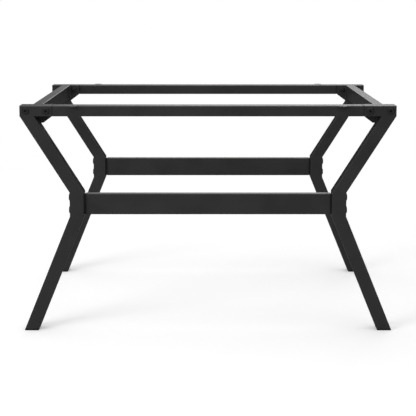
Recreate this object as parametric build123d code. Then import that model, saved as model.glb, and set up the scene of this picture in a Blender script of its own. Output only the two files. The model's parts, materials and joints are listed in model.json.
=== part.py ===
from build123d import *
import os

os.makedirs("parts", exist_ok=True)

# Overall size of the base, in millimetres
base_width = 700.0
base_depth = 500.0
base_height = 430.0

# Tube stock
wall = 1.5
corner_radius = 2.0
member_depth = 30.0
rail_height = 20.0

# Leg, with a level section that keeps its width all the way down
leg_width = 27.0
knee_offset = 90.0
knee_height = 46.0
knee_middle = 243.5
stub_length = 60.0

# Cross beam and its flange plates
beam_width = 20.0
beam_height = 30.0
flange_height = 35.0
flange_thickness = 4.0

# Stretcher, its end plates and the bosses on them
stretcher_height = 40.0
stretcher_depth = 15.0
end_plate_thickness = 4.0
boss_height = 3.0
boss_inset = 3.0
boss_margin = 0.5

# Spigots at the ends of the long rails, and the open seam between rail and stub
spigot_length = 30.0
spigot_wall = 1.8
seam_gap = 0.8

# Lugs for the table top
lug_spacing = 500.0
lug_width = 15.0
lug_reach = 12.5
lug_thickness = 2.5
lug_hole_radius = 2.75

# Plastic caps and plugs
cap_lid = 3.0
cap_depth = 20.0
cap_wall = 2.0
plug_depth = 6.0

# Bolts and nuts
bolt_radius = 3.0
head_radius = 6.5
head_height = 2.4
socket_flats = 4.0
socket_depth = 1.6
top_bolt_length = 40.0
knee_bolt_length = 35.0
top_bolt_offset = 19.0
knee_bolt_offset = 12.0
nut_flats = 10.0
nut_height = 5.0
hexagon_sides = 6

# Clearances between pieces that go into each other
slide_clearance = 0.3
hole_radius = bolt_radius + slide_clearance

# Positions that follow from the dimensions above
half_width = base_width / 2
member_row = (base_depth - member_depth) / 2
member_inside = base_depth / 2 - member_depth
rail_bottom = base_height - rail_height
rail_middle = base_height - rail_height / 2
stub_start = half_width - stub_length
rail_end = stub_start - seam_gap
beam_middle = half_width - stub_length / 2
knee_outer = half_width - knee_offset
knee_inner = knee_outer - leg_width
bolt_columns = [beam_middle - top_bolt_offset, beam_middle + top_bolt_offset]
bolt_rows = [knee_middle - knee_bolt_offset, knee_middle + knee_bolt_offset]

# The leg's centre line, from the floor to the underside of the stub, and the middle of the stub above it
foot_point = Vector(half_width - leg_width / 2, 0, 0)
knee_low = Vector(knee_outer - leg_width / 2, 0, knee_middle - knee_height / 2)
knee_high = Vector(knee_outer - leg_width / 2, 0, knee_middle + knee_height / 2)
stub_point = Vector(half_width - leg_width / 2, 0, rail_bottom)
weld_point = Vector(half_width - leg_width / 2, 0, rail_middle)


def shin_point(height):
    return foot_point + (knee_low - foot_point) * (height / knee_low.Z)


def facing_x(x, y, z):
    return Plane(origin=(x, y, z), x_dir=(0, 1, 0), z_dir=(1, 0, 0))


def facing_y(x, y, z):
    return Plane(origin=(x, y, z), x_dir=(1, 0, 0), z_dir=(0, 1, 0))


def bar(plane, outline, length):
    return Solid.extrude((plane * outline).face(), plane.z_dir * length)


def pin(plane, radius, length):
    return Solid.make_cylinder(radius, length, plane)


def inset(width, height, distance):
    return Rectangle(width - 2 * distance, height - 2 * distance)


# Straight tube: round outer corners, and a bore inside the wall
def tube(plane, width, height, length):
    outside = bar(plane, RectangleRounded(width, height, corner_radius), length)
    return outside - bar(plane, inset(width, height, wall), length)


# Level outline carried along the leg's centre line, fold by fold
def folded_bar(outline, points):
    runs = [
        Solid.extrude((Pos(low.X, low.Y, low.Z) * outline).face(), high - low)
        for low, high in zip(points, points[1:])
    ]
    return runs[0].fuse(*runs[1:]) if runs[1:] else runs[0]


def hexagon(flats):
    return RegularPolygon(flats / 2, hexagon_sides, major_radius=False)


# Leg: folded box section and stub, drilled for the corner bolts and the stretcher bolts
def build_leg():
    fold_line = [shin_point(cap_lid), knee_low, knee_high, stub_point]
    leg_outline = RectangleRounded(leg_width, member_depth, corner_radius)
    leg_bore = folded_bar(inset(leg_width, member_depth, wall), fold_line)
    stub_plane = facing_x(stub_start, 0, rail_middle)
    stub = bar(stub_plane, RectangleRounded(member_depth, rail_height, corner_radius), stub_length)
    stub_bore = bar(stub_plane, inset(member_depth, rail_height, wall), stub_length)
    weld = folded_bar(Rectangle(leg_width, member_depth), [stub_point, weld_point])
    leg = folded_bar(leg_outline, fold_line).fuse(stub, weld).cut(leg_bore, stub_bore)
    for x in bolt_columns:
        leg -= pin(facing_y(x, -member_depth / 2, rail_middle), hole_radius, member_depth)
    for z in bolt_rows:
        leg -= pin(facing_x(knee_inner, 0, z), hole_radius, leg_width)
    return leg


# Foot cap: lid under the leg and a hollow spigot that follows the leg's slope
def build_foot_cap():
    lid_top = shin_point(cap_lid)
    spigot_top = shin_point(cap_lid + cap_depth)
    spigot_inset = wall + slide_clearance
    lid = folded_bar(RectangleRounded(leg_width, member_depth, corner_radius), [foot_point, lid_top])
    spigot = folded_bar(inset(leg_width, member_depth, spigot_inset), [lid_top, spigot_top])
    hollow = folded_bar(inset(leg_width, member_depth, spigot_inset + cap_wall), [lid_top, spigot_top])
    return lid + (spigot - hollow)


# Stub plug: push fit that bears on the tube's walls, flush with its end and hollow behind
def build_stub_plug():
    plane = facing_x(half_width - plug_depth, 0, rail_middle)
    body = bar(plane, inset(member_depth, rail_height, wall), plug_depth)
    return body - bar(plane, inset(member_depth, rail_height, wall + cap_wall), plug_depth - cap_wall)


# Long rail: tube, spigots that go into the stubs, and lugs on its outer side
def build_rail():
    rail = tube(facing_x(-rail_end, 0, rail_middle), member_depth, rail_height, 2 * rail_end)
    slide_inset = wall + slide_clearance
    inner_end = facing_x(rail_end - spigot_length, 0, rail_middle)
    shoulder = facing_x(rail_end, 0, rail_middle)
    spigot = bar(inner_end, inset(member_depth, rail_height, wall), spigot_length)
    spigot += bar(shoulder, inset(member_depth, rail_height, slide_inset), spigot_length)
    spigot -= bar(inner_end, inset(member_depth, rail_height, slide_inset + spigot_wall), 2 * spigot_length)
    spigot -= pin(facing_y(bolt_columns[0], -member_depth / 2, rail_middle), hole_radius, member_depth)
    lug_eye = member_depth / 2 + lug_reach - lug_width / 2
    lug_root = member_depth / 2 - wall
    arm = Pos(0, -(lug_eye + lug_root) / 2) * Rectangle(lug_width, lug_eye - lug_root)
    eye = Pos(0, -lug_eye) * Circle(lug_width / 2)
    hole = Pos(0, -lug_eye) * Circle(lug_hole_radius)
    for side in (-1, 1):
        lug_plane = Plane.XY.offset(base_height - lug_thickness) * Pos(side * lug_spacing / 2, 0)
        rail += Solid.extrude((lug_plane * (arm + eye - hole)).face(), (0, 0, lug_thickness))
    return rail + spigot + mirror(spigot, Plane.YZ)


# Cross beam: tube between two flange plates that narrow to the beam's width below the rail
def build_cross_beam():
    beam_end = member_inside - flange_thickness
    beam_plane = facing_y(beam_middle, -beam_end, base_height - beam_height / 2)
    beam = tube(beam_plane, beam_width, beam_height, 2 * beam_end)
    flange_bottom = base_height - flange_height
    corners = [
        (stub_start, base_height),
        (half_width, base_height),
        (half_width, rail_bottom),
        (beam_middle + beam_width / 2, flange_bottom),
        (beam_middle - beam_width / 2, flange_bottom),
        (stub_start, rail_bottom),
    ]
    outline = Wire.make_polygon([(x, -member_inside, z) for x, z in corners])
    flange = Solid.extrude(Face(outline), (0, flange_thickness, 0))
    for x in bolt_columns:
        flange -= pin(facing_y(x, -member_inside, rail_middle), hole_radius, flange_thickness)
    return beam + flange + mirror(flange, Plane.XZ)


# Stretcher: tube with a tapped plate flush in each end, and on the plate a boss that meets the knee
def build_stretcher():
    tube_end = knee_inner - boss_height
    plate_start = tube_end - end_plate_thickness
    plate_plane = facing_x(plate_start, 0, knee_middle)
    boss_plane = facing_x(tube_end, 0, knee_middle)
    plate = bar(plate_plane, inset(stretcher_depth, stretcher_height, wall), end_plate_thickness)
    boss_outline = Rectangle(stretcher_depth - 2 * boss_inset, stretcher_height - 2 * boss_margin)
    plate += bar(boss_plane, boss_outline, boss_height)
    for z in bolt_rows:
        plate -= pin(facing_x(plate_start, 0, z), hole_radius, end_plate_thickness + boss_height)
    stretcher = tube(facing_x(-tube_end, 0, knee_middle), stretcher_depth, stretcher_height, 2 * tube_end)
    return stretcher + plate + mirror(plate, Plane.YZ)


# Bolt standing on the XY plane: the head with its hexagon socket above, the shank below
def build_bolt(shank_length):
    head = pin(Plane.XY, head_radius, head_height)
    head -= bar(Plane.XY.offset(head_height - socket_depth), hexagon(socket_flats), socket_depth)
    return head + pin(Plane.XY.offset(-shank_length), bolt_radius, shank_length)


# Hexagon nut standing on the XY plane
def build_nut():
    return bar(Plane.XY, hexagon(nut_flats), nut_height) - pin(Plane.XY, hole_radius, nut_height)


def save(name, shape):
    shape.label = name
    export_step(shape, "parts/" + name + ".step")


def left_of(shape):
    return mirror(shape, Plane.YZ)


def rear_of(shape):
    return mirror(shape, Plane.XZ)


# Pieces that come once for each corner
front_row = Pos(0, -member_row, 0)
corner_pieces = {
    "leg": front_row * build_leg(),
    "foot_cap": front_row * build_foot_cap(),
    "stub_plug": front_row * build_stub_plug(),
}
for piece, shape in corner_pieces.items():
    save("front_right_" + piece, shape)
    save("front_left_" + piece, left_of(shape))
    save("rear_right_" + piece, rear_of(shape))
    save("rear_left_" + piece, rear_of(left_of(shape)))

# Pieces that come in pairs
front_rail = front_row * build_rail()
save("front_top_rail", front_rail)
save("rear_top_rail", rear_of(front_rail))
right_beam = build_cross_beam()
save("right_cross_beam", right_beam)
save("left_cross_beam", left_of(right_beam))
front_stretcher = front_row * build_stretcher()
save("front_stretcher", front_stretcher)
save("rear_stretcher", rear_of(front_stretcher))

# Fasteners of one corner, repeated at the other three
top_bolt = build_bolt(top_bolt_length)
knee_bolt = build_bolt(knee_bolt_length)
nut = build_nut()
toward_front = Plane(origin=(0, 0, 0), x_dir=(1, 0, 0), z_dir=(0, -1, 0)).location
toward_rear = facing_y(0, 0, 0).location
toward_right = facing_x(0, 0, 0).location
nut_seat = flange_thickness - member_inside
corner_fasteners = {
    "top_frame_bolts": [Pos(x, -base_depth / 2, rail_middle) * toward_front * top_bolt for x in bolt_columns],
    "top_frame_nuts": [Pos(x, nut_seat, rail_middle) * toward_rear * nut for x in bolt_columns],
    "stretcher_bolts": [Pos(knee_outer, -member_row, z) * toward_right * knee_bolt for z in bolt_rows],
}
for group, front_right in corner_fasteners.items():
    right_side = front_right + [rear_of(one) for one in front_right]
    both_sides = right_side + [left_of(one) for one in right_side]
    save(group, Compound(children=both_sides))
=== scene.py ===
import json
import math

import bmesh
import bpy
import numpy as np
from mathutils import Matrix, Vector


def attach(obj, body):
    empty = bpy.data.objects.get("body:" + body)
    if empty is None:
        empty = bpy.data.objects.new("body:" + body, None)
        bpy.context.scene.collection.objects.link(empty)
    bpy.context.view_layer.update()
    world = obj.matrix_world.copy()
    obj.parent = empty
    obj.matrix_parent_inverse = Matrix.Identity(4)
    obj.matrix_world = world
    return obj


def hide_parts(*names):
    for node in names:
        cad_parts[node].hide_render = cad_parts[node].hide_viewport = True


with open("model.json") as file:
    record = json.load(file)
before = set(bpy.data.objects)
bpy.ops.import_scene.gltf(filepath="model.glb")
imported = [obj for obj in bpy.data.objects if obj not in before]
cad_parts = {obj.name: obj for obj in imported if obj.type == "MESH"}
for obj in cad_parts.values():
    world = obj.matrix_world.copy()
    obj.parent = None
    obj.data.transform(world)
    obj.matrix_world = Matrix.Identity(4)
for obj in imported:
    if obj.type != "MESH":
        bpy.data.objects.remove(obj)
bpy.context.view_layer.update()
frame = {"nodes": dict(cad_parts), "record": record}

nodes = frame["nodes"]
mm = 0.001
print("frame loaded:", len(nodes), "nodes")


# A socket with arithmetic: an expression on values adds its Math nodes to the tree
class Flow:
    def __init__(self, tree, socket=None):
        self.tree = tree
        self.socket = socket

    # any other node: its type, its settings first, then the values or links of its sockets
    def node(self, kind, settings=None, sockets=None, out=0):
        made = self.tree.nodes.new(kind)
        for name, value in (settings or {}).items():
            setattr(made, name, value)
        for name, value in (sockets or {}).items():
            if isinstance(value, Flow):
                self.tree.links.new(value.socket, made.inputs[name])
            else:
                made.inputs[name].default_value = value
        return Flow(self.tree, made.outputs[out] if made.outputs else None)

    def maths(self, operation, first, second):
        return self.node("ShaderNodeMath", {"operation": operation}, {0: first, 1: second})

    def __add__(self, other):
        return self.maths("ADD", self, other)

    def __radd__(self, other):
        return self.maths("ADD", other, self)

    def __sub__(self, other):
        return self.maths("SUBTRACT", self, other)

    def __rsub__(self, other):
        return self.maths("SUBTRACT", other, self)

    def __mul__(self, other):
        return self.maths("MULTIPLY", self, other)

    def __rmul__(self, other):
        return self.maths("MULTIPLY", other, self)

    # 0 below low, 1 above high, smooth between
    def between(self, low, high):
        return self.node("ShaderNodeMapRange", {"interpolation_type": "SMOOTHSTEP"},
                         {"Value": self, "From Min": low, "From Max": high})

    def noise(self, place, scale, detail, rough):
        return self.node("ShaderNodeTexNoise", {},
                         {"Vector": place, "Scale": scale, "Detail": detail, "Roughness": rough})

    def blend(self, share, first, second):
        return self.node("ShaderNodeMix", {"data_type": "RGBA"}, {0: share, 6: first, 7: second}, 2)

    # normals rounded over sharp edges
    def softEdges(self, radius):
        return self.node("ShaderNodeBevel", {"samples": 6}, {"Radius": radius})

    def mark(self, name):
        return self.node("ShaderNodeAttribute", {"attribute_name": name}, out="Fac")

    def ray(self, kind):
        return self.node("ShaderNodeLightPath", out=kind)


def newMaterial(name):
    material = bpy.data.materials.new(name)
    material.use_nodes = True
    material.node_tree.nodes.clear()
    flow = Flow(material.node_tree)
    return material, flow, flow.node("ShaderNodeTexCoord", out="Object")


def shadeWith(flow, sockets):
    shader = flow.node("ShaderNodeBsdfPrincipled", {}, sockets)
    flow.node("ShaderNodeOutputMaterial", {}, {"Surface": shader})


def grey(level, warm=1.0):
    return (level * warm, level, level * (2 - warm), 1.0)


# Satin black powder coat: fine grain over a slow orange-peel swell, and a painted shade at sharp edges that
# draws dark lines at the joints where shadow would fall.
# In each finish a noise is written as scale, detail and roughness.
coat = {
    # the edge grey is painted shade along sharp edges, not the coat's own colour
    "deep": 0.0212, "lifted": 0.0265, "sparkle": 0.033125, "paintedEdgeShade": 0.0130,  # greys
    "rough": 0.28, "specular": 0.50,
    "roughMottle": 0.04, "roughGrain": 0.10, "roughEdge": 0.05,  # what each adds to the roughness
    "mottle": (14.0, 4.0, 0.55), "swell": (260.0, 1.0, 0.5), "grain": (1500.0, 3.0, 0.6),  # noises
    "mottleRange": (0.32, 0.70), "swellHeight": 0.6,
    "grainRange": (0.35, 0.75), "grainShare": 0.35, "grainHeight": 0.4,
    "edgeRadius": 0.5 * mm, "edgeTurn": (0.03, 0.20), "paintedEdgeShadeShare": 0.35,
    "bump": 0.05 * mm, "bumpStrength": 0.55,
}


def makePowderCoat():
    material, flow, place = newMaterial("powderCoat")
    swell = flow.noise(place, *coat["swell"])
    grain = flow.noise(place, *coat["grain"])
    mottle = flow.noise(place, *coat["mottle"]).between(*coat["mottleRange"])
    face = flow.node("ShaderNodeNewGeometry", out="True Normal")
    soft = flow.softEdges(coat["edgeRadius"])
    turn = flow.node("ShaderNodeVectorMath", {"operation": "DOT_PRODUCT"}, {0: face, 1: soft}, "Value")
    # painted shade: colour darkened within half a millimetre of sharp edges, standing in for shadow in
    # seams; the same mask also adds roughness
    paintedEdgeShade = (1 - turn).between(*coat["edgeTurn"])
    specks = grain.between(*coat["grainRange"]) * coat["grainShare"]
    colour = flow.blend(mottle, grey(coat["deep"]), grey(coat["lifted"]))
    colour = flow.blend(specks, colour, grey(coat["sparkle"]))
    colour = flow.blend(paintedEdgeShade * coat["paintedEdgeShadeShare"], colour, grey(coat["paintedEdgeShade"]))
    rough = (coat["rough"] + mottle * coat["roughMottle"] + (grain - 0.5) * coat["roughGrain"]
             + paintedEdgeShade * coat["roughEdge"])
    height = swell * coat["swellHeight"] + grain * coat["grainHeight"]
    normal = flow.node("ShaderNodeBump", {}, {
        "Strength": coat["bumpStrength"], "Distance": coat["bump"], "Height": height, "Normal": soft})
    shadeWith(flow, {"Base Color": colour, "Roughness": rough, "Specular IOR Level": coat["specular"],
                     "Normal": normal})
    return material


# Matt moulded plastic of the foot caps and stub plugs: spark-eroded grain and faint flow marks
plastic = {
    "deep": 0.0060, "lifted": 0.0090,  # greys
    "rough": 0.54, "specular": 0.35,
    "roughMarks": 0.06, "roughGrain": -0.08,  # what each adds to the roughness
    "marks": (60.0, 3.0, 0.5), "marksRange": (0.35, 0.70),  # a noise
    "grain": 2600.0,  # cells to the metre
    "edgeRadius": 0.5 * mm, "bump": 0.04 * mm, "bumpStrength": 0.5,
}


def makeBlackPlastic():
    material, flow, place = newMaterial("blackPlastic")
    grain = flow.node("ShaderNodeTexVoronoi", {"feature": "SMOOTH_F1"},
                      {"Vector": place, "Scale": plastic["grain"]}, "Distance")
    marks = flow.noise(place, *plastic["marks"]).between(*plastic["marksRange"])
    colour = flow.blend(marks, grey(plastic["deep"]), grey(plastic["lifted"]))
    rough = plastic["rough"] + marks * plastic["roughMarks"] + grain * plastic["roughGrain"]
    normal = flow.node("ShaderNodeBump", {}, {
        "Strength": plastic["bumpStrength"], "Distance": plastic["bump"], "Height": grain,
        "Normal": flow.softEdges(plastic["edgeRadius"])})
    shadeWith(flow, {"Base Color": colour, "Roughness": rough, "Specular IOR Level": plastic["specular"],
                     "Normal": normal})
    return material


# Black coated steel of bolts and nuts: rubbed a little where the key and the spanner touch, with painted
# shade in the hex socket and under the head
steel = {
    "deep": 0.0125, "lifted": 0.0180, "rubbed": 0.0420, "rubbedWarmth": 1.02, "paintedRecessShade": 0.0030,  # greys
    "rough": 0.42, "specular": 0.40,
    "roughGrain": 0.12, "roughRubbed": -0.08, "roughRecess": 0.30,  # what each adds to the roughness
    "grain": (1900.0, 3.0, 0.6), "patch": (420.0, 2.0, 0.5),  # noises
    "patchRange": (0.40, 0.62), "rubbedShare": 0.5, "rubbedMetal": 0.5,
    "bump": 0.02 * mm, "bumpStrength": 0.4,
}


def makeBlackSteel():
    material, flow, place = newMaterial("blackSteel")
    paintedRecessShade = flow.mark("paintedRecessShade")
    grain = flow.noise(place, *steel["grain"])
    rubbed = flow.mark("touch") * flow.noise(place, *steel["patch"]).between(*steel["patchRange"])
    colour = flow.blend(grain, grey(steel["deep"]), grey(steel["lifted"]))
    colour = flow.blend(rubbed * steel["rubbedShare"], colour, grey(steel["rubbed"], steel["rubbedWarmth"]))
    # painted shade: near black in the socket and under the head, where shadow would fall; the same mark
    # also adds roughness
    colour = flow.blend(paintedRecessShade, colour, grey(steel["paintedRecessShade"]))
    rough = (steel["rough"] + (grain - 0.5) * steel["roughGrain"] + rubbed * steel["roughRubbed"]
             + paintedRecessShade * steel["roughRecess"])
    normal = flow.node("ShaderNodeBump", {}, {
        "Strength": steel["bumpStrength"], "Distance": steel["bump"], "Height": grain})
    shadeWith(flow, {"Base Color": colour, "Roughness": rough, "Metallic": rubbed * steel["rubbedMetal"],
                     "Specular IOR Level": steel["specular"], "Normal": normal})
    return material


powderCoat = makePowderCoat()
blackPlastic = makeBlackPlastic()
blackSteel = makeBlackSteel()
finishes = {"powder_coat": powderCoat, "black_plastic": blackPlastic, "black_steel": blackSteel}
for subpart in frame["record"]["subparts"]:
    for slot in nodes[subpart["node"]].material_slots:
        slot.material = finishes[subpart["material_slot"]]
print("finishes on the CAD nodes:", ", ".join(sorted(finishes)))


# Quads of grids that follow each other in one list of points. Each grid closes across, and may close along.
def gridFaces(count, rows, columns, closeAlong=False):
    index = np.arange(rows * columns).reshape(rows, columns)
    index = np.hstack([index, index[:, :1]])
    if closeAlong:
        index = np.vstack([index, index[:1]])
    corners = [index[:-1, :-1], index[:-1, 1:], index[1:, 1:], index[1:, :-1]]
    quads = np.stack(corners, axis=-1).reshape(-1, 4)
    return (quads[None] + (np.arange(count) * rows * columns)[:, None, None]).reshape(-1, 4)


meshing = {"merge": 1e-7, "sharpAngle": 32}  # in metres, and in degrees


# A piece from a stack of grids: points has the shape copies, rows, columns, 3, in millimetres
def gridPiece(name, points, material, marks=None, closeAlong=False):
    faces = gridFaces(*points.shape[:3], closeAlong)
    mesh = bpy.data.meshes.new(name)
    mesh.from_pydata((points.reshape(-1, 3) * mm).tolist(), [], faces.tolist())
    for mark, share in (marks or {}).items():
        layer = mesh.attributes.new(mark, "FLOAT", "POINT")
        layer.data.foreach_set("value", np.broadcast_to(share, points.shape[:3]).astype(np.float32).ravel())
    shape = bmesh.new()
    shape.from_mesh(mesh)
    bmesh.ops.remove_doubles(shape, verts=shape.verts, dist=meshing["merge"])
    bmesh.ops.recalc_face_normals(shape, faces=shape.faces)
    shape.to_mesh(mesh)
    shape.free()
    mesh.polygons.foreach_set("use_smooth", np.ones(len(mesh.polygons), bool))
    mesh.set_sharp_from_angle(angle=math.radians(meshing["sharpAngle"]))
    mesh.materials.append(material)
    piece = bpy.data.objects.new(name, mesh)
    bpy.context.scene.collection.objects.link(piece)
    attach(piece, "root")
    return piece


def fullTurn(columns):
    return np.linspace(0, 2 * math.pi, columns, endpoint=False)


# Turned form: each row is a ring at its height, with radius as a function of row and angle
def turned(radius, height, angle):
    z = np.broadcast_to(height[:, None], radius.shape)
    return np.stack([radius * np.cos(angle), radius * np.sin(angle), z], axis=-1)


# Radius of a hexagon at each angle: half the width over flats, divided by the cosine to the nearest flat
def hexRadius(angle, flats):
    return flats / 2 / np.cos((angle + math.pi / 6) % (math.pi / 3) - math.pi / 6)


# Three axes in columns, from the first and the last
def axes(x, z):
    return np.stack([x, np.cross(z, x), z], axis=1)


# Copies of one grid: each turn is three axes in columns, each seat the point where the grid's origin goes
def placed(grid, turns, seats):
    return np.einsum("rck,njk->nrcj", grid, np.array(turns)) + np.array(seats)[:, None, None, :]


# Where the CAD has its members and holes, in millimetres
base = {"halfDepth": 250.0, "railMiddle": 420.0, "railBottom": 410.0, "memberRow": 235.0,
        "beamMiddle": 320.0, "flangeInside": 216.0, "kneeOuter": 260.0, "kneeMiddle": 243.5,
        "cornerHoles": 19.0, "kneeHoles": 12.0}  # holes lie this far either side of the middle
sides = [(x, y) for x in (-1, 1) for y in (-1, 1)]

bolt = {"columns": 48, "head": 6.5, "height": 2.4, "crown": 1.1, "crownRows": 7,
        "socket": 4.0, "depth": 1.6, "core": 3.0, "pitch": 1.0, "thread": 0.55, "threaded": 18.0,
        "perPitch": 8, "tip": 0.8, "cornerLength": 40.0, "kneeLength": 35.0,
        "spins": (8, 41, 19, 55, 30, 3, 47, 24)}  # how far each head is turned in its hole, in degrees


# Bolt along its axis: the profile (radius, height) is turned about the axis. Inside the socket the circle
# gives way to a hexagon, and on the shank the radius drops by a triangle wave of height minus the turned
# angle.
def boltGrid(length):
    angle = fullTurn(bolt["columns"])
    top = bolt["height"]
    bed = top - bolt["depth"]
    arc = np.linspace(0, math.pi / 2, bolt["crownRows"])
    crownRadius = bolt["head"] - bolt["crown"] + bolt["crown"] * np.sin(arc)
    crownHeight = top - bolt["crown"] + bolt["crown"] * np.cos(arc)
    # rows of the socket, from the drill point up: share of the hexagon, height, rubbed, share of painted
    # shade in the recess
    socket = np.array([(0.0, bed - 0.35, 0.0, 1.0), (0.90, bed, 0.0, 1.0), (1.0, bed + 0.08, 0.0, 1.0),
                       (1.0, top - 0.28, 0.2, 0.8), (1.06, top - 0.05, 1.0, 0.0)])
    # rows of the head, from the socket's rim over the crown to the seat: radius, then as above
    brim = np.array([(3.05, top, 0.5, 0.0), (3.6, top, 0.1, 0.0)]
                    + [(r, h, 0.0, 0.0) for r, h in zip(crownRadius, crownHeight)]
                    + [(bolt["head"], 0.35, 0.0, 0.3), (bolt["head"] - 0.25, 0.0, 0.0, 1.0),
                       (bolt["core"] + 0.05, 0.0, 0.0, 1.0)])
    head = np.vstack([socket, brim])
    headRadius = np.vstack([socket[:, :1] * hexRadius(angle, bolt["socket"]),
                            np.repeat(brim[:, :1], len(angle), axis=1)])
    steps = int(bolt["threaded"] / bolt["pitch"] * bolt["perPitch"])
    down = np.linspace(length - bolt["threaded"], length, steps + 1)
    phase = (down[:, None] / bolt["pitch"] - angle[None] / (2 * math.pi)) % 1.0
    wave = np.abs(2 * phase - 1)
    # the thread starts over two turns and ends in a chamfer
    runIn = np.clip((down - down[0]) / (2 * bolt["pitch"]), 0, 1)[:, None]
    tip = np.clip((length - down) / bolt["tip"], 0, 1)[:, None]
    shank = bolt["core"] - bolt["thread"] * np.maximum(wave * runIn, 1 - tip)
    plain = np.full((2, len(angle)), bolt["core"])
    end = np.zeros((1, len(angle)))
    radius = np.vstack([headRadius, plain, shank, end])
    height = np.concatenate([head[:, 1], [0.0, down[0] * -0.5], -down, [-length]])
    rest = np.zeros((len(height) - len(head), 1))
    marks = {"touch": np.vstack([head[:, 2:3], rest]), "paintedRecessShade": np.vstack([head[:, 3:4], rest])}
    return turned(radius, height, angle), marks


nut = {"columns": 72, "flats": 10.0, "height": 5.0, "bore": 3.12, "mouth": 3.45, "sink": 0.33,
       "seat": 4.7, "slope": 1.73, "chamfer": 0.62, "chamferRows": 9, "rubbed": 0.6}


# Nut along its axis: the outside is the smaller of a hexagon and a cone at each end, which leaves the
# curved corner chamfers; then across the end, down the countersunk bore, and back out
def nutGrid():
    angle = fullTurn(nut["columns"])
    tall = nut["height"]
    rise = np.linspace(0, nut["chamfer"], nut["chamferRows"])
    up = np.concatenate([rise, [tall / 2], tall - rise[::-1]])
    cone = nut["seat"] + nut["slope"] * np.minimum(up, tall - up)
    outside = np.minimum(hexRadius(angle, nut["flats"])[None], cone[:, None])
    boreRadius = np.array([nut["mouth"], nut["bore"], nut["bore"], nut["mouth"]])
    boreHeight = np.array([tall, tall - nut["sink"], nut["sink"], 0.0])
    radius = np.vstack([outside, np.repeat(boreRadius[:, None], len(angle), axis=1)])
    corner = np.clip((outside - nut["flats"] / 2) / nut["rubbed"], 0, 1)
    marks = {"touch": np.vstack([corner, np.zeros((len(boreRadius), len(angle)))])}
    return turned(radius, np.concatenate([up, boreHeight]), angle), marks


# corner bolts and nuts: two at each corner, with the heads outwards
spins = np.radians(bolt["spins"])
cornerHoles = [(sx * (base["beamMiddle"] + k * base["cornerHoles"]), sy)
               for sx, sy in sides for k in (-1, 1)]
boltTurns = [axes((math.cos(a), 0.0, math.sin(a)), (0.0, sy, 0.0))
             for a, (x, sy) in zip(spins, cornerHoles)]
boltSeats = [(x, sy * base["halfDepth"], base["railMiddle"]) for x, sy in cornerHoles]
grid, marks = boltGrid(bolt["cornerLength"])
frameBolts = gridPiece("frameBolts", placed(grid, boltTurns, boltSeats), blackSteel, marks)
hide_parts("top_frame_bolts")

nutTurns = [axes((0.0, 0.0, 1.0), (0.0, -sy, 0.0)) for x, sy in cornerHoles]  # a flat on top
nutSeats = [(x, sy * base["flangeInside"], base["railMiddle"]) for x, sy in cornerHoles]
grid, marks = nutGrid()
frameNuts = gridPiece("frameNuts", placed(grid, nutTurns, nutSeats), blackSteel, marks,
                      closeAlong=True)
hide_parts("top_frame_nuts")

# knee bolts: from the outer side of each knee into the end plate
kneeHoles = [(sx, sy, base["kneeMiddle"] + k * base["kneeHoles"]) for sx, sy in sides for k in (-1, 1)]
kneeTurns = [axes((0.0, math.cos(a), math.sin(a)), (sx, 0.0, 0.0))
             for a, (sx, sy, z) in zip(spins[::-1], kneeHoles)]
kneeSeats = [(sx * base["kneeOuter"], sy * base["memberRow"], z) for sx, sy, z in kneeHoles]
grid, marks = boltGrid(bolt["kneeLength"])
kneeBolts = gridPiece("kneeBolts", placed(grid, kneeTurns, kneeSeats), blackSteel, marks)
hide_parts("stretcher_bolts")
print("fasteners:", len(boltSeats), "corner bolts,", len(nutSeats), "nuts,", len(kneeSeats), "knee bolts")

weld = {"across": 9, "step": 0.25, "bulge": 1.3, "ripple": 0.10, "pitch": 1.5, "sag": 0.55, "taper": 3.0,
        "thin": 0.02, "root": 0.02}


# Weld bead: a bulged fillet carried along a path. At each point of the path, out and away are the two
# directions from the corner along its walls; the profile runs from one wall to the other as
# leg * (sin^bulge, cos^bulge), and leg swells and sinks as a cosine along the path, delayed in the middle
# of the bead, and tapers to nothing at both ends.
def weldGrid(path, out, away, leg):
    along = np.concatenate([[0], np.cumsum(np.linalg.norm(np.diff(path, axis=0), axis=1))])
    turn = np.linspace(0, math.pi / 2, weld["across"])
    delay = weld["sag"] * np.sin(2 * turn)
    swell = 1 + weld["ripple"] * np.cos(2 * math.pi * (along[:, None] - delay[None]) / weld["pitch"])
    ends = np.minimum(along, along[-1] - along)
    fade = np.sqrt(np.clip(ends / weld["taper"], weld["thin"], 1))[:, None]
    size = leg * swell * fade
    skin = (path[:, None] + (size * np.sin(turn) ** weld["bulge"])[..., None] * out[:, None]
            + (size * np.cos(turn) ** weld["bulge"])[..., None] * away[:, None])
    root = path[:, None] + weld["root"] * (out + away)[:, None]
    rows = np.concatenate([skin, root], axis=1)
    middle = np.broadcast_to(rows.mean(axis=1, keepdims=True), rows.shape)
    return np.concatenate([middle[:1], rows, middle[-1:]])  # both ends close to a point


beamBead = {"halfWidth": 10.0, "low": 400.0, "high": 427.5, "corner": 2.0, "cornerRows": 9, "leg": 2.3}


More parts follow.
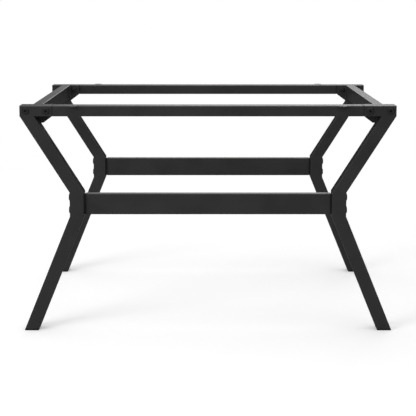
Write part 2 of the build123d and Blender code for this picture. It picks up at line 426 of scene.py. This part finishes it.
# U-shaped path round three sides of the beam's end: down one side, across below and up the other, with a
# quarter circle at each corner. Out points out of the beam's wall, along the flange, and away points along
# the beam.
def beamBeadGrid(sx, sy):
    half, low, corner = beamBead["halfWidth"], beamBead["low"], beamBead["corner"]
    down = np.arange(beamBead["high"], low + corner, -weld["step"])
    bend = np.linspace(0, math.pi / 2, beamBead["cornerRows"])
    flat = np.arange(-half + corner, half - corner, weld["step"])[1:]
    wall, under = np.ones(len(down)), np.ones(len(flat))
    x = np.concatenate([-half * wall, -half + corner - corner * np.cos(bend), flat,
                        half - corner + corner * np.sin(bend), half * wall])
    z = np.concatenate([down, low + corner - corner * np.sin(bend), low * under,
                        low + corner - corner * np.cos(bend), down[::-1]])
    outX = np.concatenate([-wall, -np.cos(bend), 0 * under, np.sin(bend), wall])
    outZ = np.concatenate([0 * wall, -np.sin(bend), -under, -np.cos(bend), 0 * wall])
    level = np.zeros(len(x))
    path = np.stack([sx * base["beamMiddle"] + x, level + sy * base["flangeInside"], z], axis=1)
    out = np.stack([outX, level, outZ], axis=1)
    away = np.broadcast_to((0.0, -sy, 0.0), path.shape)
    return weldGrid(path, out, away, beamBead["leg"])


# Straight bead between two walls: the path is a straight line from one end to the other
def straightBead(start, stop, out, away, leg):
    length = np.linalg.norm(np.subtract(stop, start))
    share = np.linspace(0, 1, int(length / weld["step"]) + 1)[:, None]
    path = np.array(start) * (1 - share) + np.array(stop) * share
    return weldGrid(path, np.broadcast_to(out, path.shape), np.broadcast_to(away, path.shape), leg)


lugBead = {"x": 250.0, "z": 427.5, "half": 7.0, "leg": 1.4}


# below the lug, along the rail's outer face
def lugBeadGrid(sx, sy):
    x, y, z = sx * lugBead["x"], sy * base["halfDepth"], lugBead["z"]
    half = lugBead["half"]
    return straightBead((x - half, y, z), (x + half, y, z), (0.0, sy, 0.0), (0.0, 0.0, -1.0),
                        lugBead["leg"])


stubBead = {"x": 323.0, "half": 12.5, "leg": 2.2, "fall": (90.0, 143.5)}


# below the stub, along the leg's inner face, which falls away from it (across, down)
def stubBeadGrid(sx, sy):
    x, y, z = sx * stubBead["x"], sy * base["memberRow"], base["railBottom"]
    half = stubBead["half"]
    across, down = np.array(stubBead["fall"]) / math.hypot(*stubBead["fall"])
    return straightBead((x, y - half, z), (x, y + half, z), (-sx, 0.0, 0.0), (-sx * across, 0.0, -down),
                        stubBead["leg"])


gridPiece("beamWelds", np.stack([beamBeadGrid(*side) for side in sides]), powderCoat)
gridPiece("lugWelds", np.stack([lugBeadGrid(*side) for side in sides]), powderCoat)
gridPiece("stubWelds", np.stack([stubBeadGrid(*side) for side in sides]), powderCoat)
print("weld beads:", len(sides), "each at beam ends, lugs and stubs")

floor = {"radius": 4.0, "rings": 24, "columns": 64, "fade": (0.9, 2.4), "albedo": 0.86, "glow": 0.23,
         "inGloss": 0.14}


# Floor: a round sheet, white where it is lit, that fades into the white surround far out. It glows a little
# for the camera, and is dim in gloss, so that the legs' rounded edges stay black.
def makeFloor():
    rings = np.repeat(np.linspace(0, floor["radius"], floor["rings"])[:, None], floor["columns"], axis=1)
    points = turned(rings, np.zeros(floor["rings"]), fullTurn(floor["columns"]))
    mesh = bpy.data.meshes.new("studioFloor")
    mesh.from_pydata(points.reshape(-1, 3).tolist(), [], gridFaces(1, *rings.shape).tolist())
    mesh.validate()
    sheet = bpy.data.objects.new("studioFloor", mesh)
    bpy.context.scene.collection.objects.link(sheet)
    material, flow, place = newMaterial("floorPaper")
    away = flow.node("ShaderNodeVectorMath", {"operation": "LENGTH"}, {0: place}, "Value")
    paper = flow.node("ShaderNodeBsdfDiffuse", {}, {"Color": grey(floor["albedo"])})
    dim = flow.node("ShaderNodeBsdfDiffuse", {}, {"Color": grey(floor["albedo"] * floor["inGloss"])})
    glow = flow.node("ShaderNodeEmission", {}, {"Strength": floor["glow"]})
    bright = flow.node("ShaderNodeAddShader", {}, {0: paper, 1: glow})
    gone = flow.node("ShaderNodeBsdfTransparent")
    shader = flow.node("ShaderNodeMixShader", {}, {0: flow.ray("Is Camera Ray"), 1: paper, 2: bright})
    shader = flow.node("ShaderNodeMixShader", {}, {0: flow.ray("Is Glossy Ray"), 1: shader, 2: dim})
    shader = flow.node("ShaderNodeMixShader", {}, {0: away.between(*floor["fade"]), 1: shader, 2: gone})
    flow.node("ShaderNodeOutputMaterial", {}, {"Surface": shader})
    mesh.materials.append(material)


# Surround: white where it is seen straight or through. Gloss sees a white roof that comes down near the
# horizon in the middle and ends above dark panels at both sides, which keep the legs' inner faces dark, and
# a dim ground below the horizon. All other light is even.
surround = {"even": 0.70, "roof": 1.0, "roofEdge": (0.10, 0.16), "turn": 0.045, "panelEdge": (0.008, 0.05),
            "panelTop": (0.31, 0.54), "ground": 0.05, "horizon": (-0.07, 0.01)}


def makeSurround():
    world = bpy.data.worlds.new("studio")
    world.use_nodes = True
    world.node_tree.nodes.clear()
    bpy.context.scene.world = world
    flow = Flow(world.node_tree)
    look = flow.node("ShaderNodeTexCoord", out="Generated")
    across = flow.node("ShaderNodeSeparateXYZ", {}, {0: look}, "X") - surround["turn"]
    up = flow.node("ShaderNodeSeparateXYZ", {}, {0: look}, "Z")
    panel = (across * across).between(*surround["panelEdge"]) * (1 - up.between(*surround["panelTop"]))
    roof = up.between(*surround["roofEdge"]) * (1 - panel)
    ground = 1 - up.between(*surround["horizon"])
    mirrored = roof * surround["roof"] + ground * surround["ground"]
    seen = flow.ray("Is Camera Ray") + flow.ray("Is Transmission Ray")
    gloss = flow.ray("Is Glossy Ray")
    strength = seen + gloss * mirrored + (1 - seen - gloss) * surround["even"]
    shader = flow.node("ShaderNodeBackground", {}, {"Color": (1, 1, 1, 1), "Strength": strength})
    flow.node("ShaderNodeOutputWorld", {}, {"Surface": shader})


# each lamp looks at the middle of the base, and one that is not mirrored gives soft light only
lampAim = (0, 0, 0.22)
lamps = {
    "overhead": {"at": (0.1, 0.1, 2.5), "size": (2.0, 1.6), "power": 7.0, "mirrored": True},
    "leftFront": {"at": (-2.2, -2.2, 1.0), "size": (1.4, 1.4), "power": 46.0, "mirrored": False},
    "backSheen": {"at": (0.45, 2.6, 1.75), "size": (1.3, 0.6), "power": 9.0, "mirrored": True},
}


def makeLamps():
    for name, lamp in lamps.items():
        data = bpy.data.lights.new(name, "AREA")
        data.shape = "RECTANGLE"
        data.size, data.size_y = lamp["size"]
        data.energy = lamp["power"]
        holder = bpy.data.objects.new(name, data)
        holder.location = lamp["at"]
        holder.rotation_euler = (Vector(lampAim) - Vector(lamp["at"])).to_track_quat("-Z", "Y").to_euler()
        holder.visible_camera = False
        holder.visible_glossy = lamp["mirrored"]
        bpy.context.scene.collection.objects.link(holder)


camera = {"at": (0.0, -2.423, 0.645), "down": 8.60, "sensor": 36.0, "lens": 101.8, "shift": -0.10}


def makeCamera():
    data = bpy.data.cameras.new("photoView")
    data.sensor_width = camera["sensor"]
    data.lens = camera["lens"]
    data.shift_y = camera["shift"]
    holder = bpy.data.objects.new("photoView", data)
    holder.location = camera["at"]
    holder.rotation_euler = (math.radians(90 - camera["down"]), 0, 0)
    bpy.context.scene.collection.objects.link(holder)
    bpy.context.scene.camera = holder


makeFloor()
makeSurround()
makeLamps()
makeCamera()
bpy.context.scene.view_settings.view_transform = "Standard"
print("studio: floor, surround,", len(lamps), "lamps, camera")
